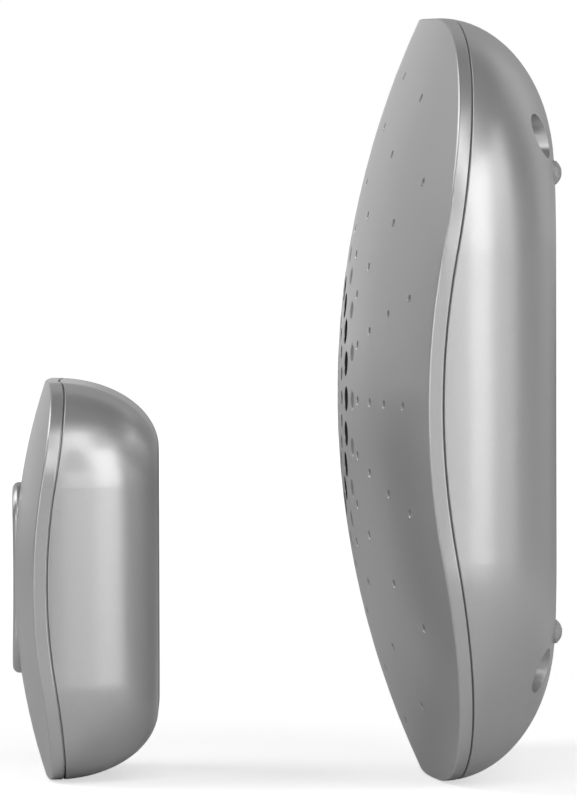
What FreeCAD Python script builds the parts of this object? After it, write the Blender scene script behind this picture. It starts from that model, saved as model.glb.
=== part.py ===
import FreeCAD, Part
import math
import os

# Wireless doorbell: a domed wall chime and its battery bell push, in mm.
# Fronts face -Y, backs face +Y, up is +Z. The origin is the centre of the
# keyhole's round end, on the chime's back plane. Each unit is modelled about
# its own centre with its back plane at y = 0 and is then put in its place.
# Each unit is as deep as the stack of pieces inside it needs.

# Outer form of the chime: a spherical front on a rounded square, rounded off to a flat back
chime = {
    "half_x": 75.0,
    "half_z": 75.0,
    "corner": 45.0,
    "dome": 178.0,
    "round_depth": 22.2,
    "round_in": 28.9,
    "cover": 2.5,
    "wall": 2.2,
    "edge_round": 0.5,
}

# Outer form of the bell push
push = {
    "half_x": 33.0,
    "half_z": 39.25,
    "corner": 20.0,
    "dome": 125.0,
    "round_depth": 20.5,
    "round_in": 14.0,
    "cover": 2.5,
    "wall": 2.0,
    "edge_round": 0.5,
}

# Where the two units stand beside each other
keyhole_height = 31.0
front_to_front = 64.5
push_to_side = 12.0

# The seam between a cover and its housing
seam_gap = 0.3
seam_depth = 0.8
seam_round = 0.2
lip_clearance = 0.15
lip_wall = 1.1
lip_height = 2.0

# Fits shared by many pieces
fit = 0.05
part_gap = 0.2
sheet = 0.4
overrun = 5.0
inner_trim = 0.5
no_length = 1e-6

# Pattern on the chime's face: rays of holes and dimples
rays = 20
through_rings = [(7.6, 0.75), (15.2, 1.4), (22.4, 2.5)]
wide_dimple = {"ring": 29.7, "radius": 2.15, "deep": 0.3}
dimple_deep = 0.55
round_dimples = [(35.1, 1.0), (44.7, 0.95)]
shaped_dimples = [(53.7, 0.9), (63.7, 0.9)]
shaped_corner = 38.0

# Case screws of the chime, in deep pockets at its back
pocket = {"from_side": 24.3, "from_top": 23.0, "radius": 4.3, "wall": 2.0, "floor": 2.0, "boss": 4.3}
case_screw = {"shank": 1.4, "head": 3.0, "head_high": 2.2, "long": 8.0}
screw_recess = {"radius": 1.3, "deep": 1.1, "arm": 0.35, "share": 0.6}

# Soft bumpers between the chime and the wall
bumper = {"from_side": 31.0, "from_top": 30.2, "radius": 2.35, "seat": 1.0, "proud": 1.2}

# Keyhole hanger
keyhole = {"radius": 4.2, "slot": 2.3, "rise": 8.5}
hanger = {"half_x": 7.5, "below": 6.5, "above": 14.5, "deep": 9.0, "wall": 1.2}

# Battery bay of the chime, for three round cells side by side
cell = {"radius": 7.1, "long": 49.2, "tip_radius": 2.7, "tip": 1.2, "sleeve": 0.15, "end": 1.0}
bay = {"bottom": -40.5, "between": 1.1, "side": 0.5, "wall": 1.5, "corner": 1.0}
contact = {"room": 1.0, "spring_room": 6.1, "half": 4.5, "fold": 1.5, "bow": 0.55, "leaf_in": 1.0}
door = {"thick": 2.0, "rim": 1.75, "clearance": 0.25, "corner": 3.0}
grip = {"half_x": 9.0, "half_z": 2.5, "corner": 1.5, "rib": 0.3, "rib_pitch": 1.5, "below_face": 0.3}
saddle = {"wall": 1.6, "high": 4.5, "spread": 15.0}

# Speaker, held to the back of the cover
speaker = {
    "set_back": 6.3,
    "behind": 2.6,
    "deep": 15.1,
    "flange": 28.5,
    "flange_wide": 2.9,
    "flange_thick": 1.2,
    "wall": 0.8,
    "back": 18.0,
    "windows": 6,
    "window": 3.2,
    "window_in": 3.4,
    "basket_lap": 2.0,
    "magnet": 15.0,
    "magnet_inset": 0.4,
    "magnet_bore": 9.0,
    "magnet_thick": 2.9,
    "plate": 1.6,
    "plate_hole": 7.0,
    "pole": 6.1,
}
cone = {"coil": 6.4, "coil_wall": 0.35, "coil_back": 4.6, "coil_in": 0.6, "paper": 0.4, "foot": 0.6, "roll": 1.4}
dust_cap = {"radius": 7.4, "rise": 2.2}
gasket_in = 0.6
cloth = {"over": 0.2, "thick": 0.3}
speaker_post = {"angles": [30.0, 150.0, 270.0], "out": 3.8, "radius": 2.6}
clamp_screw = {"shank": 0.9, "long": 2.6, "washer": 4.5, "washer_thick": 0.8, "head": 2.0, "head_high": 1.3}
tag_board = {"half_x": 5.5, "thick": 1.0, "wide": 2.6, "off_basket": 0.1}
speaker_lead = {
    "radius": 0.6,
    "bend": 1.6,
    "x": 3.0,
    "spread": 1.4,
    "lift": 4.0,
    "in_flange": 1.5,
    "board_z": 35.0,
}

# Circuit board of the chime
board = {"half_x": 38.0, "bottom": 31.0, "top": 57.0, "thick": 1.6, "back_y": -16.4}
board_post = {"in_x": 4.0, "in_z": 3.5, "radius": 3.0, "pilot": 1.0}
board_screw = {"shank": 0.95, "head": 2.3, "head_high": 1.5, "long": 7.0}
chip = {"x": -10.0, "z": 43.0, "half": 5.0, "high": 1.6}
chip_legs = {"count": 8, "pitch": 1.085, "half_x": 0.6, "half_z": 0.25, "high": 0.5}
capacitors = [
    {"x": -26.5, "z": 43.0, "radius": 3.6, "high": 7.5},
    {"x": -19.6, "z": 42.0, "radius": 2.6, "high": 5.5},
]
receiver = {"x": 22.0, "z": 43.0, "half_x": 9.0, "half_z": 5.5, "thick": 1.0}
receiver_can = {"off_x": -2.0, "half_x": 4.5, "half_z": 3.6, "corner": 0.6, "high": 2.2}
antenna = {
    "in_x": 2.0,
    "in_z": 2.0,
    "off_board": 4.0,
    "end_x": -26.0,
    "rise": 8.0,
    "radius": 0.4,
    "bend": 1.6,
}

# Melody button and loudness slider on the chime's back
key_x = 22.0
key_z = 38.0
key_flange = 1.1
key_sunk = 0.5
melody = {"radius": 3.0, "clearance": 0.15, "flange": 4.2, "stem": 1.6, "travel": 0.5}
slider = {"half_x": 2.2, "half_z": 1.5, "travel": 3.0, "clearance": 0.3, "flange_x": 6.5, "flange_z": 2.8}
slider_groove = {"half": 0.25, "deep": 0.4, "pitch": 1.2}
switch = {"half": 3.0, "high": 3.5, "plunger": 1.7, "plunger_high": 1.2, "bore": 0.8}
slide_switch = {"half_x": 4.6, "half_z": 2.2, "high": 3.6, "slot_deep": 0.9, "pin": 1.0}

# Button of the bell push: an upright pill, a little hollow down its front
button = {
    "half_x": 7.5,
    "half_z": 19.0,
    "clearance": 0.2,
    "front_round": 1.3,
    "proud": 0.3,
    "hollow": 0.25,
    "flange": 1.2,
    "flange_thick": 1.0,
    "travel": 0.8,
    "stem": 3.0,
}
guide = {"wall": 1.4, "clearance": 0.3}
seal_thick = 0.8
seal_frame = {"thick": 1.4, "ear": 3.0, "ear_out": 2.3, "open": 2.0}
seal_screw = {"shank": 0.9, "head": 1.9, "head_high": 1.2, "long": 5.0}

# Circuit board, cell tub and wall plate of the bell push
push_switch_high = 2.67
push_board = {"half_x": 22.0, "past_ear": 5.3, "thick": 1.6, "corner": 4.0, "off_tub": 1.1}
push_post = {"off_guide": 2.2, "below_guide": 1.5, "shoulder": 3.4, "spigot": 2.3, "hole": 0.15}
push_screw = {"shank": 1.0, "head": 2.2, "head_high": 1.5, "long": 7.0}
encoder = {"x": 12.5, "z": -10.0, "half_x": 3.5, "half_z": 4.0, "high": 1.4}
resonator = {"x": -15.5, "z": -9.0, "half_x": 2.6, "half_z": 4.6, "corner": 2.5, "high": 2.2}
push_antenna = {"x": -19.5, "half_z": 26.0, "off_board": 2.6, "radius": 0.45, "bend": 1.2}
tub = {"past_post_x": 4.0, "past_post_z": 3.2, "corner": 4.0, "wall": 1.4}
plate = {"thick": 2.5, "rim": 1.65, "clearance": 0.2}
plate_screw = {"z": 19.0, "hole": 2.1, "sink": 3.7, "sink_deep": 1.5}
push_cell = {"radius": 5.0, "long": 27.5, "tip_radius": 2.3, "tip": 0.7, "sleeve": 0.15, "end": 0.7}
push_cell_room = {"to_plate": 0.7, "to_floor": 0.3}
push_saddle = {"spread": 8.0, "past_cell": 1.5, "half": 0.8}
push_contact = {"half_x": 4.0, "off_floor": 0.7, "past_axis": 4.6, "rib": 1.0}


# Plain shapes, with every round one standing along Y
def vec(x, y, z):
    return FreeCAD.Vector(x, y, z)


def rod(radius, y_from, y_to, x=0.0, z=0.0):
    return Part.makeCylinder(radius, y_to - y_from, vec(x, y_from, z), vec(0, 1, 0))


def upright_rod(radius, x, y, z_from, z_to):
    return Part.makeCylinder(radius, z_to - z_from, vec(x, y, z_from), vec(0, 0, 1))


def ring(outer, inner, y_from, y_to):
    return rod(outer, y_from, y_to).cut(rod(inner, y_from, y_to))


def block(x_ends, y_ends, z_ends):
    low = vec(min(x_ends), min(y_ends), min(z_ends))
    high = vec(max(x_ends), max(y_ends), max(z_ends))
    size = high - low
    return Part.makeBox(size.x, size.y, size.z, low)


def around(middle, half):
    return (middle - half, middle + half)


def turned(points):
    # a closed section in (radius, y), turned about the Y axis
    corners = [vec(radius, y, 0) for radius, y in points]
    face = Part.Face(Part.makePolygon(corners + corners[:1]))
    return face.revolve(vec(0, 0, 0), vec(0, 1, 0), 360)


def slab(half_x, half_z, corner, y_from, y_to, x=0.0, z=0.0):
    # a block with rounded upright corners, seen from the front
    flat_x = half_x - corner
    flat_z = half_z - corner
    diagonal = corner * math.sqrt(0.5)
    edges = []
    for sign_x, sign_z in ((1, 1), (-1, 1), (-1, -1), (1, -1)):
        centre = vec(x + sign_x * flat_x, y_from, z + sign_z * flat_z)
        side = centre + vec(sign_x * corner, 0, 0)
        middle = centre + vec(sign_x * diagonal, 0, sign_z * diagonal)
        end = centre + vec(0, 0, sign_z * corner)
        edges.append(Part.Arc(side, middle, end).toShape())
    top = [vec(x + sign * flat_x, y_from, z + half_z) for sign in (-1, 1)]
    bottom = [vec(x + sign * flat_x, y_from, z - half_z) for sign in (-1, 1)]
    left = [vec(x - half_x, y_from, z + sign * flat_z) for sign in (-1, 1)]
    right = [vec(x + half_x, y_from, z + sign * flat_z) for sign in (-1, 1)]
    for ends in (top, bottom, left, right):
        if ends[0].distanceToPoint(ends[1]) > no_length:
            edges.append(Part.LineSegment(ends[0], ends[1]).toShape())
    wire = Part.Wire(Part.__sortEdges__(edges))
    return Part.Face(wire).extrude(vec(0, y_to - y_from, 0))


def pill(half_x, half_z, y_from, y_to):
    return slab(half_x, half_z, half_x, y_from, y_to)


def bent_leaf(points, thickness, x_ends):
    # a bent sheet: its line in (y, z), thickened to one side and pulled along X
    path = Part.makePolygon([vec(x_ends[0], y, z) for y, z in points])
    face = path.makeOffset2D(thickness, fill=True, openResult=True)
    return face.extrude(vec(x_ends[1] - x_ends[0], 0, 0))


def wire_along(points, radius, bend):
    # a wire along straight runs that are joined by tangent arcs
    corners = [vec(*point) for point in points]
    edges = []
    start = corners[0]
    for before, corner, after in zip(corners, corners[1:], corners[2:]):
        back = (before - corner).normalize()
        ahead = (after - corner).normalize()
        half_angle = math.acos(back.dot(ahead)) / 2
        reach = bend / math.tan(half_angle)
        middle_line = (back + ahead).normalize()
        centre = corner + middle_line * (bend / math.sin(half_angle))
        first = corner + back * reach
        last = corner + ahead * reach
        middle = centre - middle_line * bend
        edges.append(Part.LineSegment(start, first).toShape())
        edges.append(Part.Arc(first, middle, last).toShape())
        start = last
    edges.append(Part.LineSegment(start, corners[-1]).toShape())
    heading = corners[1] - corners[0]
    section = Part.Wire(Part.Circle(corners[0], heading, radius).toShape())
    return Part.Wire(edges).makePipeShell([section], True, False)


# The rounded form that a unit's cover and housing are both cut from
def case_form(case, inset=0.0):
    half_x = case["half_x"] - inset
    half_z = case["half_z"] - inset
    corner = case["corner"] - inset
    deep = case["round_depth"] - inset
    reach_in = case["round_in"] - inset
    back = -inset
    front = -case["depth"] - overrun
    flat = corner - reach_in
    shoulder = back - deep
    centre = vec(flat, shoulder, 0)
    rim = vec(corner, shoulder, 0)
    crown = vec(flat, back, 0)
    if reach_in > deep:
        curve = Part.Ellipse(rim, crown, centre)
    else:
        curve = Part.Ellipse(crown, rim, centre)
    corners = [crown, vec(0, back, 0), vec(0, front, 0), vec(corner, front, 0), rim]
    sides = [Part.LineSegment(a, b).toShape() for a, b in zip(corners, corners[1:])]
    section_edges = sides + [Part.ArcOfEllipse(curve, 0, math.pi / 2).toShape()]
    section = Part.Face(Part.Wire(Part.__sortEdges__(section_edges)))
    flat_x = half_x - corner
    flat_z = half_z - corner
    pieces = [block(around(0, flat_x), (front, back), around(0, flat_z))]
    for turn in range(4):
        run, out = (flat_z, flat_x) if turn % 2 == 0 else (flat_x, flat_z)
        side = section.copy()
        side.translate(vec(out, 0, -run))
        quarter = section.copy().revolve(vec(0, 0, 0), vec(0, 1, 0), 90)
        quarter.translate(vec(out, 0, -run))
        for piece in (side.extrude(vec(0, 0, 2 * run)), quarter):
            piece.rotate(vec(0, 0, 0), vec(0, 1, 0), 90 * turn)
            pieces.append(piece)
    return pieces[0].multiFuse(pieces[1:]).removeSplitter()


def dome_ball(case, inset=0.0):
    return Part.makeSphere(case["dome"] - inset, vec(0, case["dome"] - case["depth"], 0))


def dome_drop(case, inset, reach):
    # how far the domed surface falls back from the front, at a distance from the unit's axis
    radius = case["dome"] - inset
    return case["dome"] - math.sqrt(radius**2 - reach**2)


def rim_rounded(solid, radius, end):
    # rounds the outer edges of the domed face that lies furthest to the front (min) or back (max)
    domed = [face for face in solid.Faces if isinstance(face.Surface, Part.Sphere)]
    face = end(domed, key=lambda face: face.CenterOfMass.y)
    return solid.makeFillet(radius, face.OuterWire.Edges)


def cover_shell(case):
    # the domed cover with its rounded front edge and the lip inside the seam
    solid = rim_rounded(case_form(case).common(dome_ball(case)), case["edge_round"], min)
    solid = rim_rounded(solid.cut(dome_ball(case, case["cover"])), seam_round, max)
    lip_inset = case["wall"] + lip_clearance
    lip = case_form(case, lip_inset).cut(case_form(case, lip_inset + lip_wall))
    lip = lip.common(dome_ball(case, case["cover"] / 2))
    lip = lip.cut(dome_ball(case, case["cover"] + lip_height))
    return solid.fuse(lip)


def housing_shell(case):
    # the rear housing, with a fine groove left open along the seam
    low = case_form(case).common(dome_ball(case, case["cover"] + seam_gap))
    low = rim_rounded(low, seam_round, min)
    high = case_form(case, seam_depth).common(dome_ball(case, case["cover"]))
    return low.fuse(high).cut(case_form(case, case["wall"]))


def inside_case(shape, case):
    return shape.common(case_form(case, inner_trim))


def machine_screw(sizes, y_seat, x, z, points_to=-1):
    # a pan head on a shank, with a cross recess; the shank points to -Y or +Y
    top = y_seat - points_to * sizes["head_high"]
    tip = y_seat + points_to * sizes["long"]
    body = rod(sizes["head"], min(y_seat, top), max(y_seat, top), x, z)
    body = body.fuse(rod(sizes["shank"], min(y_seat, tip), max(y_seat, tip), x, z))
    deep = min(screw_recess["deep"], sizes["head_high"] * screw_recess["share"])
    reach = min(screw_recess["radius"], sizes["head"] * screw_recess["share"])
    cut_y = (top, top + points_to * deep)
    arm = screw_recess["arm"]
    cross = block(around(x, reach), cut_y, around(z, arm))
    cross = cross.fuse(block(around(x, arm), cut_y, around(z, reach)))
    return body.cut(cross)


# What stacks up behind each unit's front sets its depth
cell_axis_y = -door["thick"] - part_gap - cell["radius"]
bay_floor_y = cell_axis_y - cell["radius"] - part_gap
speaker_back_y = bay_floor_y - bay["wall"] - speaker["behind"]
speaker_front_y = speaker_back_y - speaker["deep"]
chime["depth"] = speaker["set_back"] - speaker_front_y

push_cell_y = -plate["thick"] - push_cell_room["to_plate"] - push_cell["radius"]
tub_floor_y = push_cell_y - push_cell["radius"] - push_cell_room["to_floor"]
tub_floor_front_y = tub_floor_y - tub["wall"]
board_back_y = tub_floor_front_y - push_board["off_tub"]
board_front_y = board_back_y - push_board["thick"]
push_switch_y = board_front_y - push_switch_high
seal_back_y = push_switch_y - switch["plunger_high"] - fit
seal_y = seal_back_y - seal_thick
flange_back_y = seal_y - button["travel"] - part_gap
flange_front_y = flange_back_y - button["flange_thick"]
flange_x = button["half_x"] + button["flange"]
flange_z = button["half_z"] + button["flange"]
push["depth"] = dome_drop(push, push["cover"], flange_z) - flange_front_y + part_gap

chime_centre_z = -keyhole_height
push_centre_z = chime_centre_z - chime["half_z"] + push["half_z"]
push_back_y = -chime["depth"] - front_to_front + push["depth"]
unit_place = {
    "chime": vec(0, 0, chime_centre_z),
    "push": vec(push_to_side, push_back_y, push_centre_z),
}
parts = {}


def put(name, shapes, unit):
    # moves the solids of one piece from their unit's own frame to the shared one
    solids = []
    for shape in shapes:
        moved = shape.copy()
        moved.translate(unit_place[unit])
        solids.extend(moved.Solids)
    parts[name] = Part.makeCompound(solids) if len(solids) > 1 else solids[0]


def four_places(x, z):
    return [(sign_x * x, sign_z * z) for sign_x in (-1, 1) for sign_z in (-1, 1)]


# Pattern of holes and dimples on the chime's face
def outline_reach(half, corner, angle):
    across = abs(math.cos(angle))
    up = abs(math.sin(angle))
    flat = half - corner
    straight = half / max(across, up)
    if straight * min(across, up) <= flat:
        return straight
    along = (across + up) * flat
    return along + math.sqrt(along**2 - 2 * flat**2 + corner**2)


def dimple(reach, angle, radius, deep):
    ball = (radius**2 + deep**2) / (2 * deep)
    surface = vec(
        reach * math.cos(angle),
        dome_drop(chime, 0, reach) - chime["depth"],
        reach * math.sin(angle),
    )
    outwards = (surface - vec(0, chime["dome"] - chime["depth"], 0)).normalize()
    return Part.makeSphere(ball, surface + outwards * (ball - deep))


def face_pattern():
    tools = []
    for ray in range(rays):
        angle = 2 * math.pi * ray / rays
        for reach, radius in through_rings:
            x = reach * math.cos(angle)
            z = reach * math.sin(angle)
            tools.append(rod(radius, -chime["depth"] - overrun, -chime["depth"] + overrun, x, z))
        tools.append(dimple(wide_dimple["ring"], angle, wide_dimple["radius"], wide_dimple["deep"]))
        for reach, radius in round_dimples:
            tools.append(dimple(reach, angle, radius, dimple_deep))
        for half, radius in shaped_dimples:
            reach = outline_reach(half, shaped_corner, angle)
            tools.append(dimple(reach, angle, radius, dimple_deep))
    return tools


# Chime: front cover
pocket_places = four_places(chime["half_x"] - pocket["from_side"], chime["half_z"] - pocket["from_top"])
pocket_reach = math.hypot(*pocket_places[0])
pocket_end_y = dome_drop(chime, chime["cover"], pocket_reach) - chime["depth"] + pocket["boss"]
pocket_floor_y = pocket_end_y + pocket["floor"]
speaker_seat_y = speaker_front_y + speaker["flange_thick"]
post_ring = speaker["flange"] + speaker_post["out"]
post_turns = [math.radians(angle) for angle in speaker_post["angles"]]
speaker_post_places = [(post_ring * math.cos(turn), post_ring * math.sin(turn)) for turn in post_turns]


def make_chime_cover():
    cover = cover_shell(chime).cut(face_pattern())
    inside = dome_ball(chime, chime["cover"] / 2)
    for x, z in pocket_places:
        boss = rod(pocket["radius"], -chime["depth"], pocket_end_y, x, z).common(inside)
        pilot_from = pocket_floor_y - case_screw["long"] - part_gap
        cover = cover.fuse(boss)
        cover = cover.cut(rod(case_screw["shank"] + fit, pilot_from, 0, x, z))
    for x, z in speaker_post_places:
        post = rod(speaker_post["radius"], -chime["depth"], speaker_seat_y, x, z).common(inside)
        post = post.cut(rod(speaker["flange"] + part_gap, -chime["depth"], 0))
        pilot_from = speaker_seat_y - clamp_screw["long"] - part_gap
        cover = cover.fuse(post)
        cover = cover.cut(rod(clamp_screw["shank"] + fit, pilot_from, 0, x, z))
    put("chime_front_cover", [cover], "chime")


# Chime: rear housing with screw pockets, battery bay, hanger and board posts
cell_pitch = 2 * cell["radius"] + bay["between"]
bay_half_x = cell_pitch + cell["radius"] + bay["side"]
bay_top = bay["bottom"] + cell["long"] + cell["tip"] + contact["room"] + contact["spring_room"]
bay_middle = (bay["bottom"] + bay_top) / 2
bay_half_z = (bay_top - bay["bottom"]) / 2
door_hole_x = bay_half_x + door["rim"] + door["clearance"]
door_hole_z = bay_half_z + door["rim"] + door["clearance"]
board_post_places = [
    (side * (board["half_x"] - board_post["in_x"]), z)
    for side in (-1, 1)
    for z in (board["bottom"] + board_post["in_z"], board["top"] - board_post["in_z"])
]
bumper_places = four_places(chime["half_x"] - bumper["from_side"], chime["half_z"] - bumper["from_top"])


def cell_bay():
    # the room for the cells, less the ribs that carry them
    room = slab(bay_half_x, bay_half_z, bay["corner"], bay_floor_y, overrun, 0, bay_middle)
    ribs = []
    for sign in (-1, 1):
        rib_z = around(bay_middle + sign * saddle["spread"], saddle["wall"] / 2)
        rib = block(around(0, bay_half_x), (bay_floor_y, bay_floor_y + saddle["high"]), rib_z)
        for place in (-1, 0, 1):
            seat = (cell["radius"] + fit, place * cell_pitch, cell_axis_y, *rib_z)
            rib = rib.cut(upright_rod(*seat))
        ribs.append(rib)
    return room.cut(ribs)


def make_chime_housing():
    wall_in_y = -chime["wall"]
    hole_from = wall_in_y - fit
    hanger_low = keyhole_height - hanger["below"]
    hanger_high = keyhole_height + hanger["above"]
    tub_x = door_hole_x + bay["wall"]
    tub_z = door_hole_z + bay["wall"]
    extras = [
        slab(tub_x, tub_z, door["corner"], bay_floor_y - bay["wall"], 0, 0, bay_middle),
        block(around(0, hanger["half_x"]), (-hanger["deep"], 0), (hanger_low, hanger_high)),
    ]
    for x, z in pocket_places:
        extras.append(rod(pocket["radius"] + pocket["wall"], pocket_end_y, 0, x, z))
    for x, z in board_post_places:
        extras.append(rod(board_post["radius"], board["back_y"], 0, x, z))
    housing = housing_shell(chime).multiFuse([inside_case(extra, chime) for extra in extras])

    skin = hanger["wall"]
    slot_top = keyhole_height + keyhole["rise"]
    slider_x = slider["half_x"] + slider["travel"] / 2 + slider["clearance"]
    slider_z = slider["half_z"] + slider["clearance"]
    cuts = [
        cell_bay(),
        slab(door_hole_x, door_hole_z, door["corner"], -door["thick"], overrun, 0, bay_middle),
        block(
            around(0, hanger["half_x"] - skin),
            (-hanger["deep"] + skin, wall_in_y),
            (hanger_low + skin, hanger_high - skin),
        ),
        rod(keyhole["radius"], hole_from, overrun, 0, keyhole_height),
        block(around(0, keyhole["slot"]), (hole_from, overrun), (keyhole_height, slot_top)),
        rod(keyhole["slot"], hole_from, overrun, 0, slot_top),
        rod(melody["radius"] + melody["clearance"], -overrun, overrun, -key_x, key_z),
        slab(slider_x, slider_z, slider_z / 2, -overrun, overrun, key_x, key_z),
    ]
    for x, z in pocket_places:
        cuts.append(rod(pocket["radius"], pocket_floor_y, overrun, x, z))
        cuts.append(rod(case_screw["shank"] + part_gap, pocket_end_y - overrun, overrun, x, z))
    for x, z in board_post_places:
        pilot_to = board["back_y"] + board_screw["long"]
        cuts.append(rod(board_post["pilot"], board["back_y"], pilot_to, x, z))
    for x, z in bumper_places:
        cuts.append(rod(bumper["radius"] + fit, -bumper["seat"], overrun, x, z))
    put("chime_rear_housing", [housing.cut(cuts)], "chime")


def make_chime_fasteners():
    screws = [machine_screw(case_screw, pocket_floor_y, x, z) for x, z in pocket_places]
    put("chime_case_screws", screws, "chime")
    proud = bumper["proud"]
    ball = (bumper["radius"] ** 2 + proud**2) / (2 * proud)
    bumpers = []
    for x, z in bumper_places:
        body = rod(bumper["radius"], -bumper["seat"], overrun, x, z)
        bumpers.append(body.common(Part.makeSphere(ball, vec(x, proud - ball, z))))
    put("chime_wall_bumpers", bumpers, "chime")


def make_battery_door():
    half_x = door_hole_x - door["clearance"]
    half_z = door_hole_z - door["clearance"]
    panel = slab(half_x, half_z, door["corner"], -door["thick"] + fit, 0, 0, bay_middle)
    grip_y = -door["thick"] / 2
    grip_z = bay_middle + bay_half_z - 2 * grip["half_z"]
    well = slab(grip["half_x"], grip["half_z"], grip["corner"], grip_y, overrun, 0, grip_z)
    ribs = [
        block(
            around(0, grip["half_x"]),
            (grip_y, -grip["below_face"]),
            around(grip_z + step * grip["rib_pitch"], grip["rib"]),
        )
        for step in (-1, 0, 1)
    ]
    put("chime_battery_door", [panel.cut(well.cut(ribs))], "chime")


# Round cells, each a can with a wrapped sleeve around it
def cell_pieces(sizes, x, y, z_low, tip_up):
    can_low = z_low if tip_up else z_low + sizes["tip"]
    can_high = can_low + sizes["long"]
    tip_ends = (can_high, can_high + sizes["tip"]) if tip_up else (z_low, can_low)
    can = upright_rod(sizes["radius"] - sizes["sleeve"], x, y, can_low, can_high)
    can = can.fuse(upright_rod(sizes["tip_radius"], x, y, *tip_ends))
    sleeve = upright_rod(sizes["radius"], x, y, can_low + sizes["end"], can_high - sizes["end"])
    return can, sleeve.cut(can)


def spring_contact(x, wall_z, inwards):
    # a sprung leaf that bows from the end wall of the bay to the end of its cell
    half = contact["half"]
    reach = contact["spring_room"] - part_gap
    low_y = cell_axis_y - half
    high_y = cell_axis_y + half
    line = [
        (high_y, wall_z + inwards * sheet),
        (low_y, wall_z + inwards * sheet),
        (low_y + contact["fold"], wall_z + inwards * reach * contact["bow"]),
        (cell_axis_y, wall_z + inwards * (reach - sheet)),
        (high_y - contact["fold"], wall_z + inwards * reach * contact["bow"]),
    ]
    return bent_leaf(line, -sheet * inwards, around(x, half - contact["leaf_in"]))


def make_chime_cells():
    cans = []
    sleeves = []
    contacts = []
    half = contact["half"]
    for place in (-1, 0, 1):
        x = place * cell_pitch
        tip_up = place != 0
        room_below = contact["spring_room"] if tip_up else contact["room"]
        can, sleeve = cell_pieces(cell, x, cell_axis_y, bay["bottom"] + room_below, tip_up)
        cans.append(can)
        sleeves.append(sleeve)
        flat_wall, spring_wall = (bay_top, bay["bottom"]) if tip_up else (bay["bottom"], bay_top)
        inwards = 1 if tip_up else -1
        flat_z = (flat_wall, flat_wall - inwards * (contact["room"] - part_gap))
        contacts.append(block(around(x, half), around(cell_axis_y, half), flat_z))
        contacts.append(spring_contact(x, spring_wall, inwards))
    put("chime_cell_cans", cans, "chime")
    put("chime_cell_sleeves", sleeves, "chime")
    put("chime_cell_contacts", contacts, "chime")


# Speaker: places along its depth, from the flange back to the yoke
flange_in = speaker["flange"] - speaker["flange_wide"]
yoke_y = speaker_back_y - speaker["plate"]
magnet_y = yoke_y - speaker["magnet_thick"]
top_plate_y = magnet_y - speaker["plate"]
rim_y = speaker_seat_y - speaker["wall"]
cone_edge = flange_in - speaker["wall"] - 2 * cone["roll"]
coil_front_y = speaker_front_y + cone["coil_back"]


def make_speaker_basket():
    wall = speaker["wall"]
    lap = speaker["magnet"] - speaker["basket_lap"]
    frame = turned([
        (speaker["flange"], speaker_front_y),
        (speaker["flange"], speaker_seat_y),
        (flange_in, speaker_seat_y),
        (speaker["back"], top_plate_y),
        (lap, top_plate_y),
        (lap, top_plate_y - wall),
        (speaker["back"] - wall, top_plate_y - wall),
        (flange_in - wall, rim_y),
        (flange_in - wall, speaker_front_y),
    ])
    window_ring = flange_in - speaker["window_in"]
    windows = []
    for step in range(speaker["windows"]):
        angle = 2 * math.pi * (step + 0.5) / speaker["windows"]
        x = window_ring * math.cos(angle)
        z = window_ring * math.sin(angle)
        windows.append(rod(speaker["window"], speaker_seat_y, top_plate_y, x, z))
    put("speaker_frame", [frame.cut(windows)], "chime")


def make_speaker_motor():
    radius = speaker["magnet"]
    top_plate = ring(radius, speaker["plate_hole"], top_plate_y, magnet_y)
    put("speaker_top_plate", [top_plate], "chime")
    magnet = ring(radius - speaker["magnet_inset"], speaker["magnet_bore"], magnet_y, yoke_y)
    put("speaker_magnet", [magnet], "chime")
    pole = rod(speaker["pole"], top_plate_y, yoke_y)
    put("speaker_yoke", [rod(radius, yoke_y, speaker_back_y).fuse(pole)], "chime")


def make_speaker_cone():
    neck = cone["coil"] + cone["coil_wall"]
    paper = cone["paper"]
    coil = ring(neck, cone["coil"], coil_front_y, magnet_y + cone["coil_in"])
    put("speaker_voice_coil", [coil], "chime")
    sheet_paper = turned([
        (neck, coil_front_y),
        (neck, coil_front_y + cone["foot"]),
        (cone_edge, rim_y + paper),
        (cone_edge, rim_y),
    ])
    put("speaker_cone", [sheet_paper], "chime")
    rise = dust_cap["rise"]
    ball = (dust_cap["radius"] ** 2 + rise**2) / (2 * rise)
    slope = (rim_y - coil_front_y) / (cone_edge - neck)
    cap_y = coil_front_y + slope * (dust_cap["radius"] - neck) - fit
    middle = vec(0, cap_y - rise + ball, 0)
    cap = Part.makeSphere(ball, middle).cut(Part.makeSphere(ball - paper, middle))
    cap = cap.common(rod(dust_cap["radius"], cap_y - overrun, cap_y))
    put("speaker_dust_cap", [cap], "chime")
    roll_middle = cone_edge + cone["roll"]
    roll_place = (vec(0, rim_y, 0), vec(0, 1, 0))
    surround = Part.makeTorus(roll_middle, cone["roll"], *roll_place)
    surround = surround.cut(Part.makeTorus(roll_middle, cone["roll"] - paper, *roll_place))
    surround = surround.common(rod(speaker["flange"], speaker_front_y - overrun, rim_y))
    put("speaker_surround", [surround], "chime")


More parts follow.
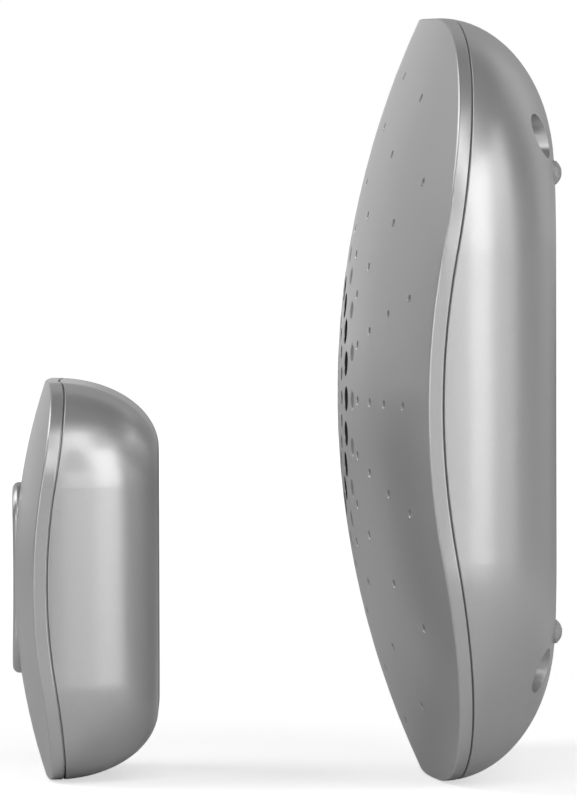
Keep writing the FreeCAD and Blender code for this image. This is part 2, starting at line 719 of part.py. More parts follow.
def make_speaker_mounting():
    gasket = ring(speaker["flange"], flange_in + gasket_in, -chime["depth"], speaker_front_y)
    put("speaker_gasket", [gasket.common(dome_ball(chime, chime["cover"]))], "chime")
    weave = rod(flange_in + cloth["over"], -chime["depth"], speaker_front_y)
    weave = weave.common(dome_ball(chime, chime["cover"]))
    weave = weave.cut(dome_ball(chime, chime["cover"] + cloth["thick"]))
    put("speaker_cloth", [weave], "chime")
    washer_y = speaker_seat_y + clamp_screw["washer_thick"]
    long_screw = dict(clamp_screw, long=clamp_screw["long"] + clamp_screw["washer_thick"])
    clamps = [
        rod(clamp_screw["washer"], speaker_seat_y, washer_y, x, z).fuse(
            machine_screw(long_screw, washer_y, x, z)
        )
        for x, z in speaker_post_places
    ]
    put("speaker_clamp_screws", clamps, "chime")
    tags_y = (speaker_seat_y, speaker_seat_y + tag_board["thick"])
    tags_low = flange_in + tag_board["off_basket"]
    tags = block(around(0, tag_board["half_x"]), tags_y, (tags_low, tags_low + tag_board["wide"]))
    put("speaker_tag_board", [tags], "chime")


def make_speaker_leads():
    tag_y = speaker_seat_y + tag_board["thick"]
    tag_z = speaker["flange"] - speaker_lead["in_flange"]
    board_y = board["back_y"] - board["thick"]
    board_z = speaker_lead["board_z"]
    wires = []
    for side in (-1, 1):
        tag_x = side * speaker_lead["x"]
        board_x = tag_x * speaker_lead["spread"]
        route = [
            (tag_x, tag_y, tag_z),
            (tag_x, tag_y + speaker_lead["lift"], tag_z),
            (board_x, board_y - speaker_lead["lift"], board_z),
            (board_x, board_y, board_z),
        ]
        wires.append(wire_along(route, speaker_lead["radius"], speaker_lead["bend"]))
    put("speaker_leads", wires, "chime")


# Circuit board of the chime and what is soldered to it
chime_board_y = board["back_y"] - board["thick"]
key_flange_y = -chime["wall"] - part_gap - key_flange


def make_chime_board():
    panel = block(
        around(0, board["half_x"]), (chime_board_y, board["back_y"]), (board["bottom"], board["top"])
    )
    holes = [
        rod(board_screw["shank"] + part_gap, chime_board_y, board["back_y"], x, z)
        for x, z in board_post_places
    ]
    put("chime_circuit_board", [panel.cut(holes)], "chime")
    screws = [machine_screw(board_screw, chime_board_y, x, z, 1) for x, z in board_post_places]
    put("chime_board_screws", screws, "chime")


def make_controller_chip():
    body_y = (chime_board_y - chip["high"], chime_board_y)
    body = block(around(chip["x"], chip["half"]), body_y, around(chip["z"], chip["half"]))
    legs = []
    for side in (-1, 1):
        for step in range(chip_legs["count"]):
            x = chip["x"] + side * (chip["half"] + chip_legs["half_x"])
            z = chip["z"] + (step - (chip_legs["count"] - 1) / 2) * chip_legs["pitch"]
            leg_y = (chime_board_y - chip_legs["high"], chime_board_y)
            legs.append(block(around(x, chip_legs["half_x"]), leg_y, around(z, chip_legs["half_z"])))
    put("chime_controller_chip", [body.multiFuse(legs)], "chime")


def make_receiver():
    cans = [
        rod(can["radius"], chime_board_y - can["high"], chime_board_y, can["x"], can["z"])
        for can in capacitors
    ]
    put("chime_capacitors", cans, "chime")
    face_y = chime_board_y - receiver["thick"]
    x = receiver["x"]
    z = receiver["z"]
    module = block(around(x, receiver["half_x"]), (face_y, chime_board_y), around(z, receiver["half_z"]))
    put("chime_receiver_module", [module], "chime")
    shield = slab(
        receiver_can["half_x"], receiver_can["half_z"], receiver_can["corner"],
        face_y - receiver_can["high"], face_y, x + receiver_can["off_x"], z,
    )
    put("chime_receiver_can", [shield], "chime")
    start_x = x + receiver["half_x"] - antenna["in_x"]
    start_z = z + receiver["half_z"] - antenna["in_z"]
    wire_y = chime_board_y - antenna["off_board"]
    route = [
        (start_x, face_y, start_z),
        (start_x, wire_y, start_z),
        (antenna["end_x"], wire_y, start_z + antenna["rise"]),
    ]
    put("chime_antenna", [wire_along(route, antenna["radius"], antenna["bend"])], "chime")


def make_melody_button():
    back_y = board["back_y"]
    top_y = back_y + switch["high"]
    body = block(
        around(-key_x, switch["half"]), (back_y, top_y), around(key_z, switch["half"])
    )
    bore = rod(switch["plunger"] + fit, top_y - switch["bore"], top_y, -key_x, key_z)
    put("melody_switch_body", [body.cut(bore)], "chime")
    plunger_low = top_y - switch["bore"] + melody["travel"] + part_gap
    plunger_high = top_y + switch["plunger_high"]
    plunger = rod(switch["plunger"], plunger_low, plunger_high, -key_x, key_z)
    put("melody_switch_plunger", [plunger], "chime")
    key = rod(melody["radius"], key_flange_y, -key_sunk, -key_x, key_z)
    key = key.fuse(rod(melody["flange"], key_flange_y, key_flange_y + key_flange, -key_x, key_z))
    key = key.fuse(rod(melody["stem"], plunger_high + fit, key_flange_y, -key_x, key_z))
    put("melody_button", [key], "chime")


def make_loudness_slider():
    back_y = board["back_y"]
    top_y = back_y + slide_switch["high"]
    slot_y = top_y - slide_switch["slot_deep"]
    pin = slide_switch["pin"]
    body = block(
        around(key_x, slide_switch["half_x"]), (back_y, top_y), around(key_z, slide_switch["half_z"])
    )
    slot_x = pin + slider["travel"] / 2 + part_gap
    slot = block(around(key_x, slot_x), (slot_y, top_y), around(key_z, pin + fit))
    put("loudness_switch_body", [body.cut(slot)], "chime")
    x = key_x - slider["travel"] / 2
    knob = block(around(x, slider["half_x"]), (key_flange_y, -key_sunk), around(key_z, slider["half_z"]))
    wide = block(
        around(x, slider["flange_x"]),
        (key_flange_y, key_flange_y + key_flange),
        around(key_z, slider["flange_z"]),
    )
    stem = block(around(x, pin), (slot_y + part_gap, key_flange_y), around(key_z, pin))
    grooves = [
        block(
            around(x + step * slider_groove["pitch"], slider_groove["half"]),
            (-key_sunk - slider_groove["deep"], 0),
            around(key_z, 2 * slider["half_z"]),
        )
        for step in (-1, 0, 1)
    ]
    put("loudness_slider", [knob.fuse(wide).fuse(stem).cut(grooves)], "chime")


# Bell push: front cover with the guide for its button
guide_in_x = flange_x + guide["clearance"]
guide_in_z = flange_z + guide["clearance"]
guide_out_x = guide_in_x + guide["wall"]
guide_out_z = guide_in_z + guide["wall"]
frame_back_y = seal_back_y + seal_frame["thick"]
ear_z = guide_out_z + seal_frame["ear_out"]
ear_places = [(0.0, -ear_z), (0.0, ear_z)]
push_post_x = guide_out_x + push_post["off_guide"]
push_post_z = guide_out_z - push_post["below_guide"]
push_post_places = four_places(push_post_x, push_post_z)


def make_push_cover():
    front_y = -push["depth"]
    inside = dome_ball(push, push["cover"] / 2)
    hole_x = button["half_x"] + button["clearance"]
    hole_z = button["half_z"] + button["clearance"]
    extras = [pill(guide_out_x, guide_out_z, front_y, seal_y)]
    for x, z in push_post_places:
        extras.append(rod(push_post["shoulder"], front_y, board_front_y, x, z))
        extras.append(rod(push_post["spigot"], front_y, tub_floor_front_y - fit, x, z))
    for x, z in ear_places:
        extras.append(rod(seal_frame["ear"], front_y, seal_back_y, x, z))
    cover = cover_shell(push).multiFuse([extra.common(inside) for extra in extras])
    well = pill(guide_in_x, guide_in_z, front_y + push["cover"] / 2, seal_y)
    cuts = [
        pill(hole_x, hole_z, front_y - overrun, seal_y),
        well.common(dome_ball(push, push["cover"])),
    ]
    for x, z in push_post_places:
        cuts.append(rod(push_screw["shank"] + fit, tub_floor_y - push_screw["long"], 0, x, z))
    for x, z in ear_places:
        pilot_from = frame_back_y - seal_screw["long"] - part_gap
        cuts.append(rod(seal_screw["shank"] + fit, pilot_from, 0, x, z))
    put("push_front_cover", [cover.cut(cuts)], "push")


def make_push_button():
    front_y = -push["depth"] - button["proud"]
    body = pill(button["half_x"], button["half_z"], front_y, flange_front_y)
    front = min(body.Faces, key=lambda face: face.CenterOfMass.y)
    body = body.makeFillet(button["front_round"], front.Edges)
    reach = button["half_z"] - button["front_round"]
    hollow = (reach**2 + button["hollow"] ** 2) / (2 * button["hollow"])
    scoop = Part.makeCylinder(
        hollow,
        4 * button["half_x"],
        vec(-2 * button["half_x"], front_y + button["hollow"] - hollow, 0),
        vec(1, 0, 0),
    )
    body = body.cut(scoop)
    body = body.fuse(pill(flange_x, flange_z, flange_front_y, flange_back_y))
    body = body.fuse(rod(button["stem"], flange_back_y, seal_y - fit))
    put("push_button", [body], "push")


def make_push_seal():
    # the soft sheet between the button and its switch, and the frame that clamps its rim
    seal = pill(guide_out_x, guide_out_z, seal_y, seal_back_y)
    seal = seal.cut([rod(seal_frame["ear"] + fit, seal_y, seal_back_y, x, z) for x, z in ear_places])
    put("push_button_seal", [seal], "push")
    frame = pill(guide_out_x, guide_out_z, seal_back_y, frame_back_y)
    frame = frame.multiFuse([rod(seal_frame["ear"], seal_back_y, frame_back_y, x, z) for x, z in ear_places])
    open_x = guide_out_x - seal_frame["open"]
    open_z = guide_out_z - seal_frame["open"]
    cuts = [pill(open_x, open_z, seal_back_y, frame_back_y)]
    for x, z in ear_places:
        cuts.append(rod(seal_screw["shank"] + part_gap, seal_back_y, frame_back_y, x, z))
    put("push_seal_frame", [frame.cut(cuts)], "push")
    screws = [machine_screw(seal_screw, frame_back_y, x, z) for x, z in ear_places]
    put("push_seal_screws", screws, "push")


def make_push_board():
    half_z = ear_z + push_board["past_ear"]
    panel = slab(push_board["half_x"], half_z, push_board["corner"], board_front_y, board_back_y)
    holes = [
        rod(push_post["spigot"] + push_post["hole"], board_front_y, board_back_y, x, z)
        for x, z in push_post_places
    ]
    for x, z in ear_places:
        holes.append(rod(seal_screw["head"] + part_gap, board_front_y, board_back_y, x, z))
    put("push_circuit_board", [panel.cut(holes)], "push")
    half = switch["half"]
    body = block(around(0, half), (push_switch_y, board_front_y), around(0, half))
    bore = rod(switch["plunger"] + fit, push_switch_y, push_switch_y + button["travel"] + part_gap)
    put("push_switch_body", [body.cut(bore)], "push")
    plunger = rod(switch["plunger"], seal_back_y + fit, push_switch_y)
    put("push_switch_plunger", [plunger], "push")
    encoder_y = (board_front_y - encoder["high"], board_front_y)
    encoder_chip = block(
        around(encoder["x"], encoder["half_x"]), encoder_y, around(encoder["z"], encoder["half_z"])
    )
    put("push_encoder_chip", [encoder_chip], "push")
    can = slab(
        resonator["half_x"], resonator["half_z"], resonator["corner"],
        board_front_y - resonator["high"], board_front_y, resonator["x"], resonator["z"],
    )
    put("push_resonator_can", [can], "push")
    x = push_antenna["x"]
    end_z = push_antenna["half_z"]
    wire_y = board_front_y - push_antenna["off_board"]
    route = [(x, board_front_y, -end_z), (x, wire_y, -end_z), (x, wire_y, end_z), (x, board_front_y, end_z)]
    put("push_antenna", [wire_along(route, push_antenna["radius"], push_antenna["bend"])], "push")


# Bell push: housing with its cell tub, wall plate and cell
tub_x = push_post_x + tub["past_post_x"]
tub_z = push_post_z + tub["past_post_z"]
plate_hole_x = tub_x + plate["rim"]
plate_hole_z = tub_z + plate["rim"]
plate_hole_corner = tub["corner"] + plate["rim"]
contact_z = push_cell["long"] / 2 + push_cell["tip"] + part_gap
contact_y = (tub_floor_y + push_contact["off_floor"], push_cell_y + push_contact["past_axis"])


def cell_tub():
    # the room for the cell, less the saddles and the ribs behind its contacts
    room = slab(tub_x, tub_z, tub["corner"], tub_floor_y, overrun)
    saddles = []
    for sign in (-1, 1):
        rib_z = around(sign * push_saddle["spread"], push_saddle["half"])
        rib_x = around(0, push_cell["radius"] + push_saddle["past_cell"])
        rib = block(rib_x, (tub_floor_y, push_cell_y), rib_z)
        saddles.append(rib.cut(upright_rod(push_cell["radius"] + fit, 0, push_cell_y, *rib_z)))
        behind = contact_z + sheet
        back_z = (sign * behind, sign * (behind + push_contact["rib"]))
        saddles.append(block(around(0, push_contact["half_x"]), (tub_floor_y, contact_y[1]), back_z))
    return room.cut(saddles)


def make_push_housing():
    wall = tub["wall"]
    extras = [slab(plate_hole_x + wall, plate_hole_z + wall, tub["corner"] + wall, tub_floor_front_y, 0)]
    for x, z in push_post_places:
        extras.append(rod(push_post["shoulder"], board_back_y, tub_floor_y, x, z))
    housing = housing_shell(push).multiFuse([inside_case(extra, push) for extra in extras])
    cuts = [
        cell_tub(),
        slab(plate_hole_x, plate_hole_z, plate_hole_corner, -plate["thick"], overrun),
    ]
    for x, z in push_post_places:
        cuts.append(rod(push_screw["shank"] + part_gap, -push["depth"], overrun, x, z))
        cuts.append(rod(push_post["spigot"] + part_gap, -push["depth"], tub_floor_front_y, x, z))
    put("push_rear_housing", [housing.cut(cuts)], "push")
    screws = [machine_screw(push_screw, tub_floor_y, x, z) for x, z in push_post_places]
    put("push_case_screws", screws, "push")


def make_push_gasket():
    outside = case_form(push, push["wall"])
    seal = outside.cut(case_form(push, push["wall"] + lip_clearance - fit))
    seal = seal.common(dome_ball(push, push["cover"] + part_gap))
    seal = seal.cut(dome_ball(push, push["cover"] + lip_height))
    put("push_case_gasket", [seal], "push")


def make_wall_plate():
    inner_y = -plate["thick"] + fit
    panel = slab(
        plate_hole_x - plate["clearance"], plate_hole_z - plate["clearance"],
        plate_hole_corner - plate["clearance"], inner_y, 0,
    )
    sink_y = -plate["thick"] + plate_screw["sink_deep"]
    cuts = []
    for sign in (-1, 1):
        z = sign * plate_screw["z"]
        sink_ends = (plate_screw["sink"], plate_screw["hole"], sink_y - inner_y)
        cuts.append(rod(plate_screw["hole"], -overrun, overrun, 0, z))
        cuts.append(Part.makeCone(*sink_ends, vec(0, inner_y, z), vec(0, 1, 0)))
    put("push_wall_plate", [panel.cut(cuts)], "push")


def make_push_cell():
    z_low = -(push_cell["long"] + push_cell["tip"]) / 2
    can, sleeve = cell_pieces(push_cell, 0.0, push_cell_y, z_low, True)
    put("push_cell_can", [can], "push")
    put("push_cell_sleeve", [sleeve], "push")
    contacts = [
        block(around(0, push_contact["half_x"]), contact_y, (sign * contact_z, sign * (contact_z + sheet)))
        for sign in (-1, 1)
    ]
    put("push_cell_contacts", contacts, "push")


make_chime_cover()
make_chime_housing()
make_chime_fasteners()
make_battery_door()
make_chime_cells()
make_speaker_basket()
make_speaker_motor()
make_speaker_cone()
make_speaker_mounting()
make_speaker_leads()
make_chime_board()
make_controller_chip()
make_receiver()
make_melody_button()
make_loudness_slider()
make_push_cover()
make_push_button()
make_push_seal()
make_push_board()
make_push_housing()
make_push_gasket()
make_wall_plate()
make_push_cell()

os.makedirs("parts", exist_ok=True)
for name, shape in parts.items():
    shape.exportStep("parts/" + name + ".step")
    print(name, len(shape.Solids), round(shape.Volume, 2), shape.isValid())
print("depths", round(chime["depth"], 3), round(push["depth"], 3), "push back", round(push_back_y, 3))
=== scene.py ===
import math

import bmesh
import bpy
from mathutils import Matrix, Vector


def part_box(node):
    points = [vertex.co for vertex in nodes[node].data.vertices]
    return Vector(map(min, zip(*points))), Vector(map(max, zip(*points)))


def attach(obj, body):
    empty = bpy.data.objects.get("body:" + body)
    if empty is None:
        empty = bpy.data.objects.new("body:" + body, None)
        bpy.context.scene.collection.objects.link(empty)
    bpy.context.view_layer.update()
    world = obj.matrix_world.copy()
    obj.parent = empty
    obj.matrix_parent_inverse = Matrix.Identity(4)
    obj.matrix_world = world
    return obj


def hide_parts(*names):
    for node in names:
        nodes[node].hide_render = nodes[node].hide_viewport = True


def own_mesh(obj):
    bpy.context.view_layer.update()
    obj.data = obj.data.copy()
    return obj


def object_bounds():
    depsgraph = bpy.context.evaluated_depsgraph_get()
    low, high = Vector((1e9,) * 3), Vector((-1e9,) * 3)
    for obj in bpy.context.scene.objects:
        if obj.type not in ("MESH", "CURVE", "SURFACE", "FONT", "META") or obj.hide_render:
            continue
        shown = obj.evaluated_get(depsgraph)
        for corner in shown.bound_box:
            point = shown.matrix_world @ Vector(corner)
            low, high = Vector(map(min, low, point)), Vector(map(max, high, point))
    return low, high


# Wireless doorbell: a domed wall chime and its bell push, seen from the side

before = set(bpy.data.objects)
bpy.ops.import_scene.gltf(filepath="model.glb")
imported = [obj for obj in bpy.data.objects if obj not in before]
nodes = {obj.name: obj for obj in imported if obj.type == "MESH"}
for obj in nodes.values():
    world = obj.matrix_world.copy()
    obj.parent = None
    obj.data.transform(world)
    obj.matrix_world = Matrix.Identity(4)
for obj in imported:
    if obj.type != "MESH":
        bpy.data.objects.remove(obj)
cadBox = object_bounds()
millimetre = 0.001
print("frame loaded with", len(nodes), "pieces")

# View: from the right, a little above the middle, through a long lens
photoView = {
    "place": (1.7656, -0.0634, 0.0333),
    "lens": 397.3,
    "pitchDown": 2.12,
    "turnToBack": 0.378,
    "roll": 0.14,
    "clipFrom": 0.1,
    "clipTo": 60.0,
}


def makeCamera(view):
    data = bpy.data.cameras.new("photoCamera")
    data.lens = view["lens"]
    data.clip_start = view["clipFrom"]
    data.clip_end = view["clipTo"]
    camera = bpy.data.objects.new("photoCamera", data)
    camera.location = view["place"]
    camera.rotation_euler = (
        math.radians(90 - view["pitchDown"]),
        math.radians(view["roll"]),
        math.radians(90 - view["turnToBack"]),
    )
    bpy.context.scene.collection.objects.link(camera)
    bpy.context.scene.camera = camera


makeCamera(photoView)
bpy.context.scene.view_settings.view_transform = "Standard"
print("camera placed")

# Small helpers for node trees: each place is a column and a row of the node editor
nodeStep = (200, -180)


def addNode(tree, kind, place, **settings):
    node = tree.nodes.new(kind)
    node.location = (place[0] * nodeStep[0], place[1] * nodeStep[1])
    for name, value in settings.items():
        setattr(node, name, value)
    return node


def feed(tree, node, slots, values):
    # each value is a plain number, vector or colour, or a socket to link from
    for slot, value in zip(slots, values):
        if isinstance(value, bpy.types.NodeSocket):
            tree.links.new(value, node.inputs[slot])
        else:
            node.inputs[slot].default_value = value
    return node


def addMath(tree, operation, place, *values):
    node = addNode(tree, "ShaderNodeMath", place, operation=operation)
    return feed(tree, node, (0, 1), values).outputs[0]


def addVectorMath(tree, operation, place, *values):
    node = addNode(tree, "ShaderNodeVectorMath", place, operation=operation)
    slots = (0, "Scale") if operation == "SCALE" else (0, 1)
    output = "Value" if operation in ("LENGTH", "DISTANCE") else "Vector"
    return feed(tree, node, slots, values).outputs[output]


def addMix(tree, kind, place, share, first, second):
    # the node keeps its numbers in sockets 2 and 3, and its colours in 6 and 7
    node = addNode(tree, "ShaderNodeMix", place, data_type=kind)
    slots, output = {"FLOAT": ((0, 2, 3), 0), "RGBA": ((0, 6, 7), 2)}[kind]
    return feed(tree, node, slots, (share, first, second)).outputs[output]


def addRange(tree, place, value, fromLow, fromHigh, toLow=0.0, toHigh=1.0):
    node = addNode(tree, "ShaderNodeMapRange", place)
    return feed(tree, node, range(5), (value, fromLow, fromHigh, toLow, toHigh)).outputs["Result"]


def addNoise(tree, place, vector, scale, detail=2.0, roughness=0.5):
    node = addNode(tree, "ShaderNodeTexNoise", place)
    slots = ("Vector", "Scale", "Detail", "Roughness")
    return feed(tree, node, slots, (vector, scale, detail, roughness)).outputs["Fac"]


def splitAxes(tree, place, vector):
    node = addNode(tree, "ShaderNodeSeparateXYZ", place)
    return feed(tree, node, ("Vector",), (vector,)).outputs


def objectPlace(tree, place=(-6, 0)):
    return addNode(tree, "ShaderNodeTexCoord", place).outputs["Object"]


def startMaterial(name, colour, roughness, metallic=0.0):
    material = bpy.data.materials.new(name)
    material.use_nodes = True
    tree = material.node_tree
    shader = tree.nodes["Principled BSDF"]
    values = ((*colour, 1), roughness, metallic)
    feed(tree, shader, ("Base Color", "Roughness", "Metallic"), values)
    return material, tree, shader


def bumpFrom(tree, shader, height, deep):
    bump = addNode(tree, "ShaderNodeBump", (-1, 3))
    feed(tree, bump, ("Height", "Distance", "Strength"), (height, deep, 1.0))
    tree.links.new(bump.outputs["Normal"], shader.inputs["Normal"])
    return bump


# Shared effects: node groups that read a place on the object and give out tones, roughness and relief
toneInputs = [
    ("Dark Tone", "NodeSocketColor", (0.4, 0.4, 0.4, 1)),
    ("Light Tone", "NodeSocketColor", (0.6, 0.6, 0.6, 1)),
]
roughInputs = [
    ("Low Roughness", "NodeSocketFloat", 0.35),
    ("High Roughness", "NodeSocketFloat", 0.45),
]
colourOutput = ("Color", "NodeSocketColor")
roughOutput = ("Roughness", "NodeSocketFloat")
heightOutput = ("Height", "NodeSocketFloat")


def startGroup(name, inputs, outputs):
    tree = bpy.data.node_groups.new(name, "ShaderNodeTree")
    tree.interface.new_socket("Vector", in_out="INPUT", socket_type="NodeSocketVector")
    for label, kind, value in inputs:
        socket = tree.interface.new_socket(label, in_out="INPUT", socket_type=kind)
        socket.default_value = value
    for label, kind in outputs:
        tree.interface.new_socket(label, in_out="OUTPUT", socket_type=kind)
    start = addNode(tree, "NodeGroupInput", (-5, 0))
    end = addNode(tree, "NodeGroupOutput", (5, 0))
    return tree, start.outputs, end.inputs


def mixLooks(tree, taken, given, toneShare, roughShare, place):
    # one share picks between the two tones, the other between the two roughnesses
    tone = addMix(tree, "RGBA", place, toneShare, taken["Dark Tone"], taken["Light Tone"])
    tree.links.new(tone, given["Color"])
    below = (place[0], place[1] + 3)
    rough = addMix(tree, "FLOAT", below, roughShare, taken["Low Roughness"], taken["High Roughness"])
    tree.links.new(rough, given["Roughness"])


def makeFlakeGroup():
    # metal flakes: each cell has its own tone and leans its own way
    inputs = [("Flakes per Metre", "NodeSocketFloat", 4000.0), ("Lean", "NodeSocketFloat", 0.2)]
    outputs = [colourOutput, roughOutput, ("Normal", "NodeSocketVector")]
    tree, taken, given = startGroup("metalFlakes", inputs + toneInputs + roughInputs, outputs)
    cells = addNode(tree, "ShaderNodeTexVoronoi", (-3, 0))
    feed(tree, cells, ("Vector", "Scale"), (taken["Vector"], taken["Flakes per Metre"]))
    draws = addNode(tree, "ShaderNodeSeparateColor", (-2, 0))
    feed(tree, draws, ("Color",), (cells.outputs["Color"],))
    mixLooks(tree, taken, given, draws.outputs["Red"], draws.outputs["Green"], (-1, 0))
    centred = addVectorMath(tree, "SUBTRACT", (-2, 2), cells.outputs["Color"], (0.5, 0.5, 0.5))
    leaning = addVectorMath(tree, "SCALE", (-1, 2), centred, taken["Lean"])
    surface = addNode(tree, "ShaderNodeNewGeometry", (-2, 4))
    summed = addVectorMath(tree, "ADD", (0, 2), surface.outputs["Normal"], leaning)
    tree.links.new(addVectorMath(tree, "NORMALIZE", (1, 2), summed), given["Normal"])
    return tree


grainShape = {
    "grainDetail": 3.0, "grainRoughness": 0.6,
    "cloudDetail": 4.0, "cloudRoughness": 0.55,
    "cloudShare": 0.65, "darkBelow": 0.35, "lightAbove": 0.65,
}


def makeGrainGroup(shape):
    # moulded grain: fine bumps over slow clouds of tone
    inputs = [("Grains per Metre", "NodeSocketFloat", 3000.0), ("Clouds per Metre", "NodeSocketFloat", 60.0)]
    outputs = [colourOutput, roughOutput, heightOutput]
    tree, taken, given = startGroup("mouldedGrain", inputs + toneInputs + roughInputs, outputs)
    place = taken["Vector"]
    grain = addNoise(
        tree, (-3, 0), place, taken["Grains per Metre"], shape["grainDetail"], shape["grainRoughness"]
    )
    clouds = addNoise(
        tree, (-3, 2), place, taken["Clouds per Metre"], shape["cloudDetail"], shape["cloudRoughness"]
    )
    both = addMix(tree, "FLOAT", (-2, 1), shape["cloudShare"], grain, clouds)
    spread = addRange(tree, (-1, 1), both, shape["darkBelow"], shape["lightAbove"])
    mixLooks(tree, taken, given, spread, clouds, (0, 0))
    tree.links.new(grain, given["Height"])
    return tree


streakShape = {"detail": 3.0, "roughness": 0.6, "darkBelow": 0.3, "lightAbove": 0.7}


def makeStreakGroup(shape):
    # drawn or rolled metal: long fine streaks, few per metre along the way they run
    inputs = [("Streaks per Metre", "NodeSocketVector", (4000.0, 4000.0, 120.0))]
    outputs = [colourOutput, roughOutput, heightOutput]
    tree, taken, given = startGroup("metalStreaks", inputs + toneInputs + roughInputs, outputs)
    stretched = addVectorMath(tree, "MULTIPLY", (-4, 0), taken["Vector"], taken["Streaks per Metre"])
    streaks = addNoise(tree, (-3, 0), stretched, 1.0, shape["detail"], shape["roughness"])
    spread = addRange(tree, (-2, 0), streaks, shape["darkBelow"], shape["lightAbove"])
    mixLooks(tree, taken, given, spread, spread, (-1, 0))
    tree.links.new(streaks, given["Height"])
    return tree


def makeWeaveGroup():
    # plain weave: warp and weft cross over each other, with open holes between
    inputs = [("Threads per Metre", "NodeSocketFloat", 1500.0)] + toneInputs
    tree, taken, given = startGroup("plainWeave", inputs, [colourOutput, heightOutput])
    scaled = addVectorMath(tree, "SCALE", (-4, 0), taken["Vector"], taken["Threads per Metre"])
    axes = splitAxes(tree, (-3, 0), scaled)
    waves = []
    for row, axis in enumerate("XZ"):
        turned = addMath(tree, "MULTIPLY", (-2, row * 2), axes[axis], math.pi)
        waves.append(addMath(tree, "SINE", (-1, row * 2), turned))
    crossing = addMath(tree, "MULTIPLY", (0, 1), *waves)
    height = addMath(tree, "ABSOLUTE", (1, 1), crossing)
    tone = addMix(tree, "RGBA", (2, 0), height, taken["Dark Tone"], taken["Light Tone"])
    tree.links.new(tone, given["Color"])
    tree.links.new(height, given["Height"])
    return tree


def makeBoxMaskGroup():
    # 1 inside a box about a centre, 0 outside
    inputs = [
        ("Centre", "NodeSocketVector", (0.0, 0.0, 0.0)),
        ("Half", "NodeSocketVector", (0.001, 0.001, 0.001)),
    ]
    tree, taken, given = startGroup("boxMask", inputs, [("Mask", "NodeSocketFloat")])
    offset = addVectorMath(tree, "SUBTRACT", (-4, 0), taken["Vector"], taken["Centre"])
    size = addVectorMath(tree, "ABSOLUTE", (-3, 0), offset)
    room = splitAxes(tree, (-1, 0), addVectorMath(tree, "SUBTRACT", (-2, 0), taken["Half"], size))
    least = addMath(tree, "MINIMUM", (0, 0), room["X"], room["Y"])
    least = addMath(tree, "MINIMUM", (1, 0), least, room["Z"])
    tree.links.new(addMath(tree, "GREATER_THAN", (2, 0), least, 0.0), given["Mask"])
    return tree


flakeGroup = makeFlakeGroup()
grainGroup = makeGrainGroup(grainShape)
streakGroup = makeStreakGroup(streakShape)
weaveGroup = makeWeaveGroup()
boxMaskGroup = makeBoxMaskGroup()
print("shared effects built")


def addEffect(tree, group, place, values):
    # a shared effect that reads the object's own coordinates
    effect = addNode(tree, "ShaderNodeGroup", place, node_tree=group)
    feed(tree, effect, values.keys(), values.values())
    tree.links.new(objectPlace(tree, (place[0] - 2, place[1])), effect.inputs["Vector"])
    return effect.outputs


def toneValues(look):
    return {"Dark Tone": (*look["dark"], 1), "Light Tone": (*look["light"], 1)}


def roughValues(look):
    return {"Low Roughness": look["rough"][0], "High Roughness": look["rough"][1]}


def linkLooks(tree, shader, effect):
    tree.links.new(effect["Color"], shader.inputs["Base Color"])
    tree.links.new(effect["Roughness"], shader.inputs["Roughness"])


# Silver paint on both units
paintLook = {
    "dark": (0.5, 0.5, 0.502), "light": (0.52, 0.52, 0.52), "rough": (0.28, 0.31),
    "metallic": 0.6,
    "flakesPerMetre": 5200.0, "lean": 0.008,
    "peelPerMetre": 260.0, "peelDeep": 0.000006,
}


def makeSilverPaint(look):
    material, tree, shader = startMaterial("silverPaint", look["light"], look["rough"][1], look["metallic"])
    flakes = {"Flakes per Metre": look["flakesPerMetre"], "Lean": look["lean"]}
    effect = addEffect(tree, flakeGroup, (-4, 0), flakes | toneValues(look) | roughValues(look))
    linkLooks(tree, shader, effect)
    peel = addNoise(tree, (-4, 4), objectPlace(tree, (-6, 4)), look["peelPerMetre"])
    bump = bumpFrom(tree, shader, peel, look["peelDeep"])
    tree.links.new(effect["Normal"], bump.inputs["Normal"])
    return material, tree, shader, effect


